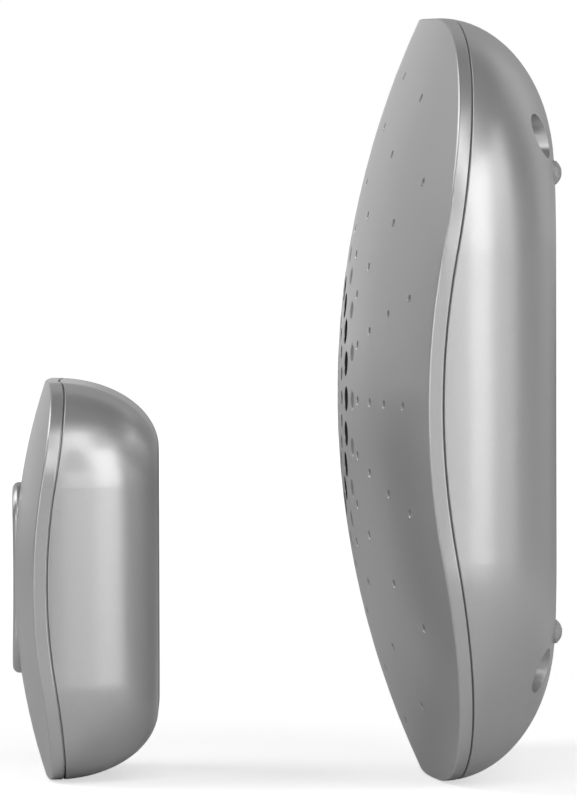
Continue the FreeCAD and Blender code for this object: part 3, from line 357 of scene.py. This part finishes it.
# Plastics, rubbers, papers and boards: the same grain, each with its own values
grainLooks = {
    "door_plastic": {
        "dark": (0.3, 0.3, 0.31), "light": (0.36, 0.36, 0.37), "rough": (0.45, 0.6),
        "grains": 2600, "clouds": 40, "deep": 0.00003,
    },
    "dark_plastic": {
        "dark": (0.02, 0.02, 0.022), "light": (0.05, 0.05, 0.052), "rough": (0.4, 0.6),
        "grains": 3200, "clouds": 90, "deep": 0.00002,
    },
    "plunger_plastic": {
        "dark": (0.6, 0.59, 0.55), "light": (0.74, 0.73, 0.7), "rough": (0.3, 0.45),
        "grains": 2000, "clouds": 150, "deep": 0.00001,
    },
    "ferrite": {
        "dark": (0.03, 0.03, 0.033), "light": (0.075, 0.075, 0.08), "rough": (0.5, 0.75),
        "grains": 3600, "clouds": 220, "deep": 0.00004,
    },
    "cone_paper": {
        "dark": (0.02, 0.02, 0.02), "light": (0.06, 0.058, 0.055), "rough": (0.75, 0.95),
        "grains": 2400, "clouds": 380, "deep": 0.00007,
    },
    "cap_paper": {
        "dark": (0.03, 0.03, 0.03), "light": (0.08, 0.078, 0.075), "rough": (0.7, 0.9),
        "grains": 2800, "clouds": 420, "deep": 0.00005,
    },
    "fibre_board": {
        "dark": (0.16, 0.08, 0.035), "light": (0.36, 0.22, 0.11), "rough": (0.6, 0.8),
        "grains": 1800, "clouds": 500, "deep": 0.00004,
    },
    "cell_sleeve": {
        "dark": (0.05, 0.06, 0.085), "light": (0.075, 0.088, 0.12), "rough": (0.22, 0.34),
        "grains": 900, "clouds": 60, "deep": 0.00001,
    },
    "silicone": {
        "dark": (0.42, 0.43, 0.44), "light": (0.56, 0.57, 0.58), "rough": (0.4, 0.55),
        "grains": 1800, "clouds": 140, "deep": 0.00002,
    },
    "foam": {
        "dark": (0.012, 0.012, 0.012), "light": (0.07, 0.07, 0.07), "rough": (0.85, 1.0),
        "grains": 2600, "clouds": 700, "deep": 0.00016,
    },
    "surround_rubber": {
        "dark": (0.016, 0.016, 0.016), "light": (0.036, 0.036, 0.036), "rough": (0.45, 0.6),
        "grains": 3000, "clouds": 120, "deep": 0.00002,
    },
}

# Metals: the same streaks, each along its own axis
streakLooks = {
    "zinc_steel": {
        "dark": (0.5, 0.5, 0.47), "light": (0.74, 0.73, 0.68), "rough": (0.24, 0.42),
        "streaks": (1800, 1800, 1800), "deep": 0.000012,
    },
    "pressed_steel": {
        "dark": (0.45, 0.46, 0.47), "light": (0.62, 0.63, 0.64), "rough": (0.28, 0.44),
        "streaks": (260, 3000, 3000), "deep": 0.00001,
    },
    "coil_copper": {
        "dark": (0.42, 0.17, 0.07), "light": (0.74, 0.36, 0.18), "rough": (0.22, 0.38),
        "streaks": (120, 6500, 120), "deep": 0.00006,
    },
    "tinned_steel": {
        "dark": (0.55, 0.55, 0.55), "light": (0.72, 0.72, 0.72), "rough": (0.22, 0.36),
        "streaks": (400, 2600, 2600), "deep": 0.000008,
    },
    "antenna_wire": {
        "dark": (0.5, 0.24, 0.11), "light": (0.78, 0.43, 0.23), "rough": (0.18, 0.32),
        "streaks": (300, 2600, 2600), "deep": 0.000006,
    },
    "cell_steel": {
        "dark": (0.6, 0.6, 0.6), "light": (0.76, 0.76, 0.75), "rough": (0.16, 0.3),
        "streaks": (3000, 3000, 300), "deep": 0.000006,
    },
    "contact_nickel": {
        "dark": (0.58, 0.56, 0.52), "light": (0.78, 0.75, 0.7), "rough": (0.18, 0.3),
        "streaks": (2600, 2600, 260), "deep": 0.000008,
    },
}


def makeFinish(name, look, group, scales, metallic=0.0):
    material, tree, shader = startMaterial(name + "Finish", look["light"], look["rough"][1], metallic)
    effect = addEffect(tree, group, (-4, 0), scales | toneValues(look) | roughValues(look))
    linkLooks(tree, shader, effect)
    bumpFrom(tree, shader, effect["Height"], look["deep"])
    return material, tree, shader, effect


def grainScales(look):
    return {"Grains per Metre": look["grains"], "Clouds per Metre": look["clouds"]}


def makeGrainMaterial(name, look):
    return makeFinish(name, look, grainGroup, grainScales(look))


def makeStreakMaterial(name, look):
    return makeFinish(name, look, streakGroup, {"Streaks per Metre": look["streaks"]}, metallic=1.0)


finishes = {"silver_paint": makeSilverPaint(paintLook)[0]}
for slotName, look in grainLooks.items():
    finishes[slotName] = makeGrainMaterial(slotName, look)[0]
for slotName, look in streakLooks.items():
    finishes[slotName] = makeStreakMaterial(slotName, look)[0]

# Circuit boards: green mask with copper runs under it
boardLook = {
    "mask": (0.02, 0.13, 0.05),
    "run": (0.06, 0.24, 0.1),
    "runsPerMetre": 420.0,
    "runSpacing": 0.16,
    "runWidth": 0.08,
    "roughness": 0.28,
    "deep": 0.00003,
}


def makeBoardMaterial(look):
    material, tree, shader = startMaterial("circuitBoardFinish", look["mask"], look["roughness"])
    cells = addNode(tree, "ShaderNodeTexVoronoi", (-4, 0), distance="MANHATTAN", feature="F1")
    feed(tree, cells, ("Vector", "Scale"), (objectPlace(tree), look["runsPerMetre"]))
    edge = addMath(tree, "PINGPONG", (-3, 0), cells.outputs["Distance"], look["runSpacing"])
    run = addMath(tree, "GREATER_THAN", (-2, 0), edge, look["runWidth"])
    tone = addMix(tree, "RGBA", (-1, 0), run, (*look["mask"], 1), (*look["run"], 1))
    tree.links.new(tone, shader.inputs["Base Color"])
    bumpFrom(tree, shader, run, look["deep"])
    return material


finishes["circuit_board"] = makeBoardMaterial(boardLook)

# Parts of two materials: metal legs beside a chip, a metal end on a capacitor, one red and one black lead
chipLook = {
    "dark": (0.012, 0.012, 0.012), "light": (0.035, 0.035, 0.035), "rough": (0.5, 0.7),
    "grains": 3400, "clouds": 240, "deep": 0.00002,
    "legTone": (0.7, 0.7, 0.69, 1), "legWidth": 1.25 * millimetre,
}
capacitorLook = {
    "dark": (0.018, 0.022, 0.05), "light": (0.03, 0.036, 0.08), "rough": (0.2, 0.32),
    "grains": 900, "clouds": 90, "deep": 0.00001,
    "endTone": (0.72, 0.72, 0.72, 1), "endSkin": 0.05 * millimetre,
}
leadLook = {
    "dark": (0.36, 0.02, 0.016), "light": (0.52, 0.035, 0.03), "rough": (0.3, 0.45),
    "grains": 1500, "clouds": 120, "deep": 0.00001,
    "blackTone": (0.012, 0.012, 0.013, 1),
}
pastAll = 1.0  # a half size, in metres, that reaches past the whole object


def maskWithBox(tree, centre, half):
    return addEffect(tree, boxMaskGroup, (-4, -3), {"Centre": centre, "Half": half})["Mask"]


def mixBaseColour(tree, shader, mask, insideColour, outside):
    tone = addMix(tree, "RGBA", (-1, -3), mask, outside, insideColour)
    tree.links.new(tone, shader.inputs["Base Color"])


def makeChipWithLegs(look):
    material, tree, shader, grain = makeGrainMaterial("controllerChip", look)
    low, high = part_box("chime_controller_chip")
    bodyHalf = (high.x - low.x) / 2 - look["legWidth"]
    body = maskWithBox(tree, (low + high) / 2, (bodyHalf, pastAll, pastAll))
    legs = addMath(tree, "SUBTRACT", (-3, -3), 1.0, body)
    mixBaseColour(tree, shader, legs, look["legTone"], grain["Color"])
    tree.links.new(legs, shader.inputs["Metallic"])
    return material


def makeCapacitorSleeve(look):
    material, tree, shader, grain = makeGrainMaterial("capacitor", look)
    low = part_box("chime_capacitors")[0]
    end = maskWithBox(tree, (0.0, low.y, 0.0), (pastAll, look["endSkin"], pastAll))
    mixBaseColour(tree, shader, end, look["endTone"], grain["Color"])
    tree.links.new(end, shader.inputs["Metallic"])
    return material


def makeLeadPlastic(look):
    material, tree, shader, grain = makeGrainMaterial("lead_plastic", look)
    leftSide = maskWithBox(tree, (-pastAll, 0.0, 0.0), (pastAll, pastAll, pastAll))
    mixBaseColour(tree, shader, leftSide, look["blackTone"], grain["Color"])
    return material


finishes["chip_plastic"] = makeGrainMaterial("chip_plastic", chipLook)[0]
finishes["capacitor_sleeve"] = makeCapacitorSleeve(capacitorLook)
finishes["lead_plastic"] = makeLeadPlastic(leadLook)

# The chime's dome: its pattern and the cloth inside it are measured from the centre of its ball
coverLow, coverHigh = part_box("chime_front_cover")
dome = {"radius": 178.0 * millimetre, "wall": 2.5 * millimetre, "front": -42.1 * millimetre}
chimeHeight = (coverLow.z + coverHigh.z) / 2
domeCentre = (0.0, dome["front"] + dome["radius"], chimeHeight)

# Chime cover: painted shade turns the walls of the speaker holes near black, and painted shade darkens the
# paint down in the dimples, which are rougher too
patternShadeLook = {
    "shadeFromDepth": 0.1 * millimetre,
    "holesTo": 26.0 * millimetre,
    "dimplesTo": 74.4 * millimetre,
    "holeShadeTone": (0.015, 0.015, 0.016, 1),
    "dimpleShadeTone": (0.3, 0.3, 0.3, 1),
    "roughness": 0.6,
}


def makePatternPaintAndShade(look):
    # silver paint with painted shade in the speaker holes and the dimples, both found from how deep a point
    # lies under the dome
    material, tree, shader, flakes = makeSilverPaint(paintLook)
    fromCentre = addVectorMath(tree, "SUBTRACT", (-5, -4), objectPlace(tree, (-6, -4)), domeCentre)
    sideways = addVectorMath(tree, "MULTIPLY", (-4, -6), fromCentre, (1.0, 0.0, 1.0))
    depth = addVectorMath(tree, "LENGTH", (-3, -4), fromCentre)
    reach = addVectorMath(tree, "LENGTH", (-3, -6), sideways)
    sunk = addMath(tree, "LESS_THAN", (-2, -4), depth, dome["radius"] - look["shadeFromDepth"])
    masks = []
    for row, limit in ((-5, "holesTo"), (-6, "dimplesTo")):
        near = addMath(tree, "LESS_THAN", (-2, row), reach, look[limit])
        masks.append(addMath(tree, "MULTIPLY", (-1, row - 1), sunk, near))
    holes, dimples = masks
    # painted shade: the paint is darker down in the dimples
    tone = addMix(tree, "RGBA", (0, -8), dimples, flakes["Color"], look["dimpleShadeTone"])
    # painted shade: the walls of the speaker holes are near black
    mixBaseColour(tree, shader, holes, look["holeShadeTone"], tone)
    # the hole walls lose their metal too, so that the painted shade stays dark
    metal = addMix(tree, "FLOAT", (0, -5), holes, paintLook["metallic"], 0.0)
    tree.links.new(metal, shader.inputs["Metallic"])
    rough = addMix(tree, "FLOAT", (0, -7), dimples, flakes["Roughness"], look["roughness"])
    tree.links.new(rough, shader.inputs["Roughness"])
    return material


# Clear rubber of the wall bumpers
clearLook = {
    "dark": (0.74, 0.75, 0.76), "light": (0.9, 0.9, 0.9), "roughness": 0.06,
    "grains": 700, "clouds": 200, "deep": 0.00001,
    "ior": 1.42, "transmission": 0.7,
}


def makeClearRubber(look):
    material, tree, shader = startMaterial("clearRubberFinish", look["light"], look["roughness"])
    feed(tree, shader, ("Transmission Weight", "IOR"), (look["transmission"], look["ior"]))
    grain = addEffect(tree, grainGroup, (-4, 0), grainScales(look) | toneValues(look))
    tree.links.new(grain["Color"], shader.inputs["Base Color"])
    bumpFrom(tree, shader, grain["Height"], look["deep"])
    return material


finishes["clear_rubber"] = makeClearRubber(clearLook)

# Speaker cloth
clothLook = {
    "dark": (0.003, 0.003, 0.003), "light": (0.03, 0.03, 0.03),
    "threadsPerMetre": 1700.0, "roughness": 0.95, "sheen": 0.15, "deep": 0.0001,
}


def makeClothMaterial(look):
    material, tree, shader = startMaterial("grilleClothFinish", look["light"], look["roughness"])
    shader.inputs["Sheen Weight"].default_value = look["sheen"]
    threads = {"Threads per Metre": look["threadsPerMetre"]}
    weave = addEffect(tree, weaveGroup, (-4, 0), threads | toneValues(look))
    tree.links.new(weave["Color"], shader.inputs["Base Color"])
    bumpFrom(tree, shader, weave["Height"], look["deep"])
    return material


finishes["grille_cloth"] = makeClothMaterial(clothLook)

for node in nodes.values():
    slotName = node.data.materials[0].name
    node.data.materials[0] = finishes[slotName]
nodes["chime_controller_chip"].data.materials[0] = makeChipWithLegs(chipLook)
nodes["chime_front_cover"].data.materials[0] = makePatternPaintAndShade(patternShadeLook)
print("materials on the packed pieces:", len(finishes))


# New pieces
def finishPiece(name, mesh, body, slotName, *replacedNodes):
    data = bpy.data.meshes.new(name)
    mesh.to_mesh(data)
    mesh.free()
    data.materials.append(finishes[slotName])
    for polygon in data.polygons:
        polygon.use_smooth = True
    piece = bpy.data.objects.new(name, data)
    bpy.context.scene.collection.objects.link(piece)
    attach(piece, body)
    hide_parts(*replacedNodes)
    return piece


def spinProfile(points, steps):
    # turns a few points, each (radius, depth) in metres, about the Y axis
    mesh = bmesh.new()
    verts = [mesh.verts.new((radius, depth, 0)) for radius, depth in points]
    edges = [mesh.edges.new(pair) for pair in zip(verts, verts[1:])]
    bmesh.ops.spin(
        mesh, geom=verts + edges, axis=(0, 1, 0), cent=(0, 0, 0),
        angle=2 * math.pi, steps=steps, use_merge=True,
    )
    bmesh.ops.remove_doubles(mesh, verts=mesh.verts, dist=1e-7)
    bmesh.ops.recalc_face_normals(mesh, faces=mesh.faces)
    return mesh


# Clear bumpers at the corners of the chime's back
bumperValues = {
    "radius": 2.35 * millimetre,
    "seat": -1.0 * millimetre,
    "proud": 1.18 * millimetre,
    "rings": 9,
    "steps": 40,
}


def makeBumpers(values):
    radius, proud = values["radius"], values["proud"]
    ball = (radius**2 + proud**2) / (2 * proud)
    edgeAngle = math.asin(radius / ball)
    profile = [(0, values["seat"]), (radius, values["seat"])]
    for step in range(values["rings"] + 1):
        angle = edgeAngle * (1 - step / values["rings"])
        profile.append((ball * math.sin(angle), proud - ball + ball * math.cos(angle)))
    low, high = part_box("chime_wall_bumpers")
    heights = (low.z + radius, high.z - radius)
    sides = (low.x + radius, high.x - radius)
    corners = [(side, 0, height) for height in heights for side in sides]
    for index, corner in enumerate(corners):
        mesh = spinProfile(profile, values["steps"])
        bmesh.ops.translate(mesh, verts=mesh.verts, vec=corner)
        finishPiece(f"wallBumper{index + 1}", mesh, "chime", "clear_rubber", "chime_wall_bumpers")


makeBumpers(bumperValues)

# Speaker cloth, stretched behind the holes against the inside of the domed cover
clothValues = {
    "radius": 25.7 * millimetre,
    "offCover": 0.02 * millimetre,
    "thick": 0.25 * millimetre,
    "rings": 10,
    "steps": 96,
}


def makeSpeakerCloth(values):
    ball = dome["radius"] - dome["wall"] - values["offCover"]
    profile = []
    for step in range(values["rings"] + 1):
        reach = values["radius"] * step / values["rings"]
        profile.append((reach, -math.sqrt(ball**2 - reach**2)))
    mesh = spinProfile(profile, values["steps"])
    bmesh.ops.solidify(mesh, geom=mesh.faces, thickness=-values["thick"])
    bmesh.ops.recalc_face_normals(mesh, faces=mesh.faces)
    bmesh.ops.translate(mesh, verts=mesh.verts, vec=domeCentre)
    cloth = finishPiece("speakerCloth", mesh, "chime", "grille_cloth", "speaker_cloth")


makeSpeakerCloth(clothValues)

# Speaker surround: a half roll of rubber between the cone and the basket
surroundValues = {
    "rollRadius": 23.4 * millimetre,
    "roll": 1.4 * millimetre,
    "thick": 0.4 * millimetre,
    "arcSteps": 12,
    "steps": 96,
    "keep": 0.8,
}


def makeSurround(values):
    middle = values["roll"] - values["thick"] / 2
    profile = []
    for step in range(values["arcSteps"] + 1):
        angle = math.pi * step / values["arcSteps"]
        profile.append((values["rollRadius"] - middle * math.cos(angle), -middle * math.sin(angle)))
    mesh = spinProfile(profile, values["steps"])
    bmesh.ops.solidify(mesh, geom=mesh.faces, thickness=values["thick"] / 2)
    bmesh.ops.recalc_face_normals(mesh, faces=mesh.faces)
    seat = (0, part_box("speaker_surround")[1].y, chimeHeight)
    bmesh.ops.translate(mesh, verts=mesh.verts, vec=seat)
    surround = finishPiece("speakerSurround", mesh, "chime", "surround_rubber", "speaker_surround")
    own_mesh(surround)


makeSurround(surroundValues)

# Foam and rubber pieces that keep their packed form, with softened edges
softValues = {
    "flatAngle": 1.0,
    "sharpAngle": 40.0,
    "segments": 2,
    "sealRounding": 0.15 * millimetre,
    "sealKeep": 0.06,
    "thickFoamRounding": 0.2 * millimetre,
    "thinFoamRounding": 0.02 * millimetre,
}


def makeSoftCopy(name, nodeName, body, slotName, rounding):
    mesh = bmesh.new()
    mesh.from_mesh(nodes[nodeName].data)
    bmesh.ops.remove_doubles(mesh, verts=mesh.verts, dist=1e-6)
    flat = math.radians(softValues["flatAngle"])
    bmesh.ops.dissolve_limit(mesh, angle_limit=flat, verts=mesh.verts, edges=mesh.edges)
    piece = finishPiece(name, mesh, body, slotName, nodeName)
    soften = piece.modifiers.new("softEdge", "BEVEL")
    soften.width = rounding
    soften.segments = softValues["segments"]
    soften.limit_method = "ANGLE"
    soften.angle_limit = math.radians(softValues["sharpAngle"])
    return piece


def makeSeal(values):
    seal = makeSoftCopy("buttonSeal", "push_button_seal", "bell_push", "silicone", values["sealRounding"])
    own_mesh(seal)


makeSeal(softValues)
makeSoftCopy("speakerGasket", "speaker_gasket", "chime", "foam", softValues["thickFoamRounding"])
makeSoftCopy("pushGasket", "push_case_gasket", "bell_push", "foam", softValues["thinFoamRounding"])
print("soft pieces made")

# Floor: pale and matt, lit by the lamps near the object and as white as the background further off
floorLook = {
    "half": 14.0,
    "gap": 0.0002,
    "tone": (0.62, 0.62, 0.62),
    "roughness": 0.9,
    "centre": (0.0, -0.05, 0.0),
    "whiteFrom": 0.3,
    "whiteTo": 1.3,
    "nearWhite": 0.6,
    "shineFrom": -3.0,
    "shineTo": -8.0,
}


def shinyRays(tree, rays, place):
    # 1 for what a mirror or a clear piece shows
    return addMath(tree, "MAXIMUM", place, rays["Is Glossy Ray"], rays["Is Transmission Ray"])


def makeFloorMaterial(look):
    material, tree, shader = startMaterial("floorFinish", look["tone"], look["roughness"])
    place = objectPlace(tree)
    rays = addNode(tree, "ShaderNodeLightPath", (-4, 2)).outputs
    away = addVectorMath(tree, "DISTANCE", (-5, 0), place, look["centre"])
    white = addRange(tree, (-3, 0), away, look["whiteFrom"], look["whiteTo"], look["nearWhite"], 1.0)
    seen = addMath(tree, "MULTIPLY", (-2, 0), white, rays["Is Camera Ray"])
    beyond = splitAxes(tree, (-4, 4), place)["X"]
    background = addRange(tree, (-3, 4), beyond, look["shineFrom"], look["shineTo"])
    mirrored = addMath(tree, "MULTIPLY", (-2, 3), background, shinyRays(tree, rays, (-3, 3)))
    glow = addMath(tree, "ADD", (-1, 0), seen, mirrored)
    feed(tree, shader, ("Emission Color", "Emission Strength"), ((1, 1, 1, 1), glow))
    return material


def makeFloor(look):
    mesh = bmesh.new()
    bmesh.ops.create_grid(mesh, x_segments=1, y_segments=1, size=look["half"])
    bmesh.ops.translate(mesh, verts=mesh.verts, vec=(0, 0, cadBox[0].z - look["gap"]))
    data = bpy.data.meshes.new("floor")
    mesh.to_mesh(data)
    mesh.free()
    data.materials.append(makeFloorMaterial(look))
    floor = bpy.data.objects.new("floor", data)
    bpy.context.scene.collection.objects.link(floor)


makeFloor(floorLook)

# Light: softboxes all round, all of one size and distance; each has its azimuth from the camera toward
# the back, its elevation and how bright its face looks
lightValues = {"target": (0, -0.045, -0.03), "distance": 1.3, "size": (0.66, 0.54)}
lamps = {
    "cameraLow": (15, 4, 1.5),
    "rightLow": (45, 4, 2.6),
    "rearSideLow": (75, 4, 1.05),
    "rearLow": (105, 4, 0.12),
    "backRightLow": (135, 4, 0.16),
    "backLeftLow": (-165, 4, 0.32),
    "farLeftLow": (-135, 4, 0.13),
    "leftLow": (-45, 4, 2.1),
    "cameraLeftMiddle": (-15, 28, 1.9),
    "cameraMiddle": (15, 28, 0.6),
    "rightMiddle": (45, 28, 2.6),
    "rearSideMiddle": (75, 28, 1.35),
    "backRightMiddle": (135, 28, 0.27),
    "farLeftMiddle": (-135, 28, 0.15),
    "frontMiddle": (-105, 28, 2.6),
    "cameraHigh": (15, 52, 1.9),
    "rightHigh": (45, 52, 0.7),
    "frontHigh": (-75, 52, 2.6),
    "farFrontHigh": (-105, 52, 2.3),
}


def makeLamp(name, azimuth, elevation, radiance):
    direction = Vector((
        math.cos(azimuth) * math.cos(elevation),
        math.sin(azimuth) * math.cos(elevation),
        math.sin(elevation),
    ))
    data = bpy.data.lights.new(name, "AREA")
    data.shape = "RECTANGLE"
    data.size, data.size_y = lightValues["size"]
    data.energy = radiance * math.pi * data.size * data.size_y
    lamp = bpy.data.objects.new(name, data)
    lamp.location = Vector(lightValues["target"]) + direction * lightValues["distance"]
    lamp.rotation_euler = (-direction).to_track_quat("-Z", "Y").to_euler()
    bpy.context.scene.collection.objects.link(lamp)


for name, (azimuth, elevation, radiance) in lamps.items():
    makeLamp(name, math.radians(azimuth), math.radians(elevation), radiance)

# Studio walls: grey behind the object, nearly black at the sides and toward the camera
worldLook = {
    "grey": (0.35, 0.35, 0.35, 1),
    "dark": (0.01, 0.01, 0.01, 1),
    "greyTo": 0.18,
    "darkFrom": 0.22,
    "backgroundFrom": 0.001,
    "backgroundTo": 0.003,
}


def makeWorld(look):
    # white where the camera sees the background, in reflections too
    world = bpy.data.worlds.new("studio")
    world.use_nodes = True
    tree = world.node_tree
    direction = addNode(tree, "ShaderNodeTexCoord", (-6, 0)).outputs["Generated"]
    share = addRange(tree, (-4, 0), splitAxes(tree, (-5, 0), direction)["X"], -1.0, 1.0)
    walls = addNode(tree, "ShaderNodeValToRGB", (-3, 0))
    tree.links.new(share, walls.inputs["Fac"])
    stops = walls.color_ramp.elements
    stops[0].position = look["backgroundTo"]
    stops[0].color = look["grey"]
    stops[1].position = look["darkFrom"]
    stops[1].color = look["dark"]
    stops.new(look["greyTo"]).color = look["grey"]
    white = addRange(tree, (-3, 2), share, look["backgroundTo"], look["backgroundFrom"])
    rays = addNode(tree, "ShaderNodeLightPath", (-6, 4)).outputs
    mirrored = addMath(tree, "MULTIPLY", (-2, 2), white, shinyRays(tree, rays, (-5, 4)))
    seen = addMath(tree, "MAXIMUM", (-1, 2), mirrored, rays["Is Camera Ray"])
    tone = addMix(tree, "RGBA", (-1, 0), seen, walls.outputs["Color"], (1, 1, 1, 1))
    tree.links.new(tone, tree.nodes["Background"].inputs["Color"])
    bpy.context.scene.world = world


makeWorld(worldLook)
print("stage and light ready")
